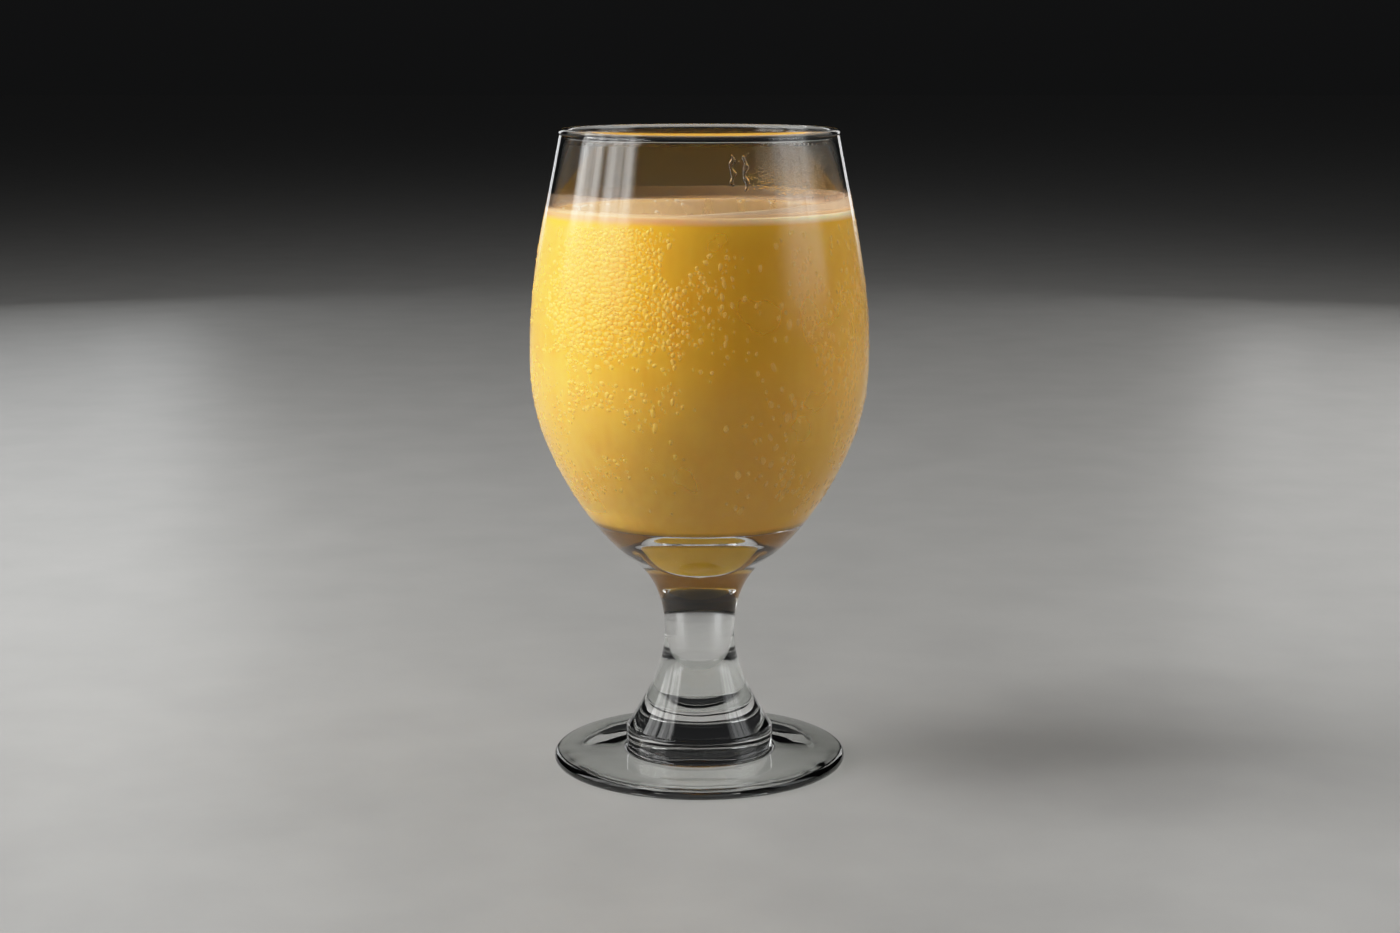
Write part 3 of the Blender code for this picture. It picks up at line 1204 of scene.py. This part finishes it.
# These show in the glass, as reflections and through it
WINDOWS = (
    Lamp("window_left_front", -64.5, 30.0, 0.12, 1.60, 0.90, 2.9, DAYLIGHT),
    Lamp("window_left_back", -95.0, 29.0, 0.12, 1.10, 0.90, 2.9, DAYLIGHT),
    Lamp("window_right", 81.0, 46.0, 0.12, 1.00, 1.00, 2.5, COOL_LIGHT, WIDE_SIDE_FADE),
)
# These show only as reflections
EDGE_LIGHTS = (
    Lamp("edge_left", -157.0, 12.0, 0.05, 0.80, 1.20, 1.7, COOL_LIGHT),
    Lamp("edge_right", 157.0, 12.0, 0.05, 0.80, 1.20, 1.7, DAYLIGHT),
)
# These don't show, and are turned to face the bowl
FILL_LIGHTS = (
    Lamp("key_left", -85.0, 40.0, 0.38, 0.98, 0.75, 15.3, DAYLIGHT),
    Lamp("fill_front", 0.0, 60.0, 0.60, 1.40, 1.00, 1.15, WARM_LIGHT),
    Lamp("fill_right", 115.0, 40.0, 0.30, 1.00, 1.00, 4.6, WARM_LIGHT),
)
BOWL_MIDDLE = Vector((0.0, 0.0, 0.10))


def soft_window(lamp, side_fade):
    """Let a lamp fade towards its edges and hang it with the folds of a sheer curtain."""
    lamp.use_nodes = True
    tree = lamp.node_tree
    geometry = tree.nodes.new("ShaderNodeNewGeometry")
    place = parts_of(tree, geometry.outputs["Parametric"])
    fades = []
    for axis, near, far in (("X", side_fade, side_fade), ("Y", FOOT_FADE, HEAD_FADE)):
        rising = remapped(tree, place[axis], 0.0, near, 0.0, 1.0)
        falling = remapped(tree, place[axis], 1.0 - far, 1.0, 1.0, 0.0)
        fades.append(combined(tree, "MULTIPLY", rising, falling))
    curtain = tree.nodes.new("ShaderNodeTexNoise")
    curtain.noise_dimensions = "1D"
    set_inputs(curtain, {"W": place["X"], "Scale": FOLDS})
    folds = remapped(tree, curtain.outputs["Fac"], *FOLD_NOISE, *FOLD_LIGHT)
    shape = combined(tree, "MULTIPLY", *fades)
    strength = combined(tree, "MULTIPLY", shape, folds)
    set_inputs(tree.nodes["Emission"], {"Strength": strength})


def soft_light(lamp, reflected, seen_through):
    """A soft light, upright where it shows in the glass, and else turned to the bowl."""
    angle = math.radians(lamp.azimuth)
    across = 2.0 * lamp.distance * math.tan(0.5 * math.radians(lamp.width))
    tall = lamp.high - lamp.low
    data = bpy.data.lights.new(lamp.name, "AREA")
    data.shape = "RECTANGLE"
    data.size = across
    data.size_y = tall
    data.energy = lamp.radiance * math.pi * across * tall
    data.color = lamp.colour
    soft_window(data, lamp.side_fade)
    light = new_object(lamp.name, data)
    light.location = around(angle, lamp.distance, 0.5 * (lamp.low + lamp.high))
    facing = Vector(around(angle, -1.0, 0.0))
    if not reflected:
        facing = BOWL_MIDDLE - light.location
    light.rotation_euler = facing.to_track_quat("-Z", "Y").to_euler()
    light.visible_camera = False
    light.visible_glossy = reflected
    light.visible_transmission = seen_through


def make_lights():
    """Two tall soft windows on the left, a weaker one on the right, and plain fill."""
    for lamp in WINDOWS:
        soft_light(lamp, reflected=True, seen_through=True)
    for lamp in EDGE_LIGHTS:
        soft_light(lamp, reflected=True, seen_through=False)
    for lamp in FILL_LIGHTS:
        soft_light(lamp, reflected=False, seen_through=False)


ROOM_COLOUR = (0.95, 0.97, 1.0)
HORIZON_GLOW = 0.0058
ZENITH_GLOW = 0.0180
FULL_GLOW_FROM = 0.8


def make_room():
    """A dim room, darkest at the horizon, where it meets the far floor."""
    world = bpy.data.worlds.new("dim_room")
    bpy.context.scene.world = world
    world.use_nodes = True
    tree = world.node_tree
    coordinates = tree.nodes.new("ShaderNodeTexCoord")
    upwards = parts_of(tree, coordinates.outputs["Generated"])["Z"]
    glow = remapped(tree, upwards, 0.0, FULL_GLOW_FROM, HORIZON_GLOW, ZENITH_GLOW)
    set_inputs(tree.nodes["Background"], {"Color": ROOM_COLOUR, "Strength": glow})


# Camera, as the photograph was taken: just above the rim, looking a little down
IMAGE_WIDTH = 1400
FOCAL_PIXELS = 2406.85
CAMERA_PLACE = (0.00016, -0.59578, 0.18048)
CAMERA_PITCH = 0.1740
SENSOR_WIDTH = 36.0


def make_camera():
    """The photograph's viewpoint and lens."""
    data = bpy.data.cameras.new("camera")
    data.sensor_width = SENSOR_WIDTH
    data.lens = SENSOR_WIDTH * FOCAL_PIXELS / IMAGE_WIDTH
    camera = new_object("camera", data)
    camera.location = CAMERA_PLACE
    camera.rotation_euler = (UP - CAMERA_PITCH, 0.0, 0.0)
    bpy.context.scene.camera = camera


# How light is shown: plainly up to the first (light, shown), and flatter from there on
BRIGHTEST_LIGHT = 2.0
ALL_CHANNELS = 3
SHOULDER = ((0.30, 0.30), (0.45, 0.449), (0.60, 0.588), (0.90, 0.81), (1.20, 0.945))


def soften_highlights():
    """Give the picture a camera's soft shoulder, so that bright yellow isn't cut off."""
    view = bpy.context.scene.view_settings
    view.view_transform = "Standard"
    view.use_curve_mapping = True
    mapping = view.curve_mapping
    mapping.white_level = (BRIGHTEST_LIGHT, BRIGHTEST_LIGHT, BRIGHTEST_LIGHT)
    curve = mapping.curves[ALL_CHANNELS]
    curve.points[0].location = (0.0, 0.0)
    curve.points[1].location = (1.0, 1.0)
    for light, shown in SHOULDER:
        curve.points.new(light / BRIGHTEST_LIGHT, shown)
    mapping.update()


make_goblet()
make_drink()
make_films()
make_bubbles()
make_dew()
make_floor()
make_lights()
make_room()
make_camera()
soften_highlights()
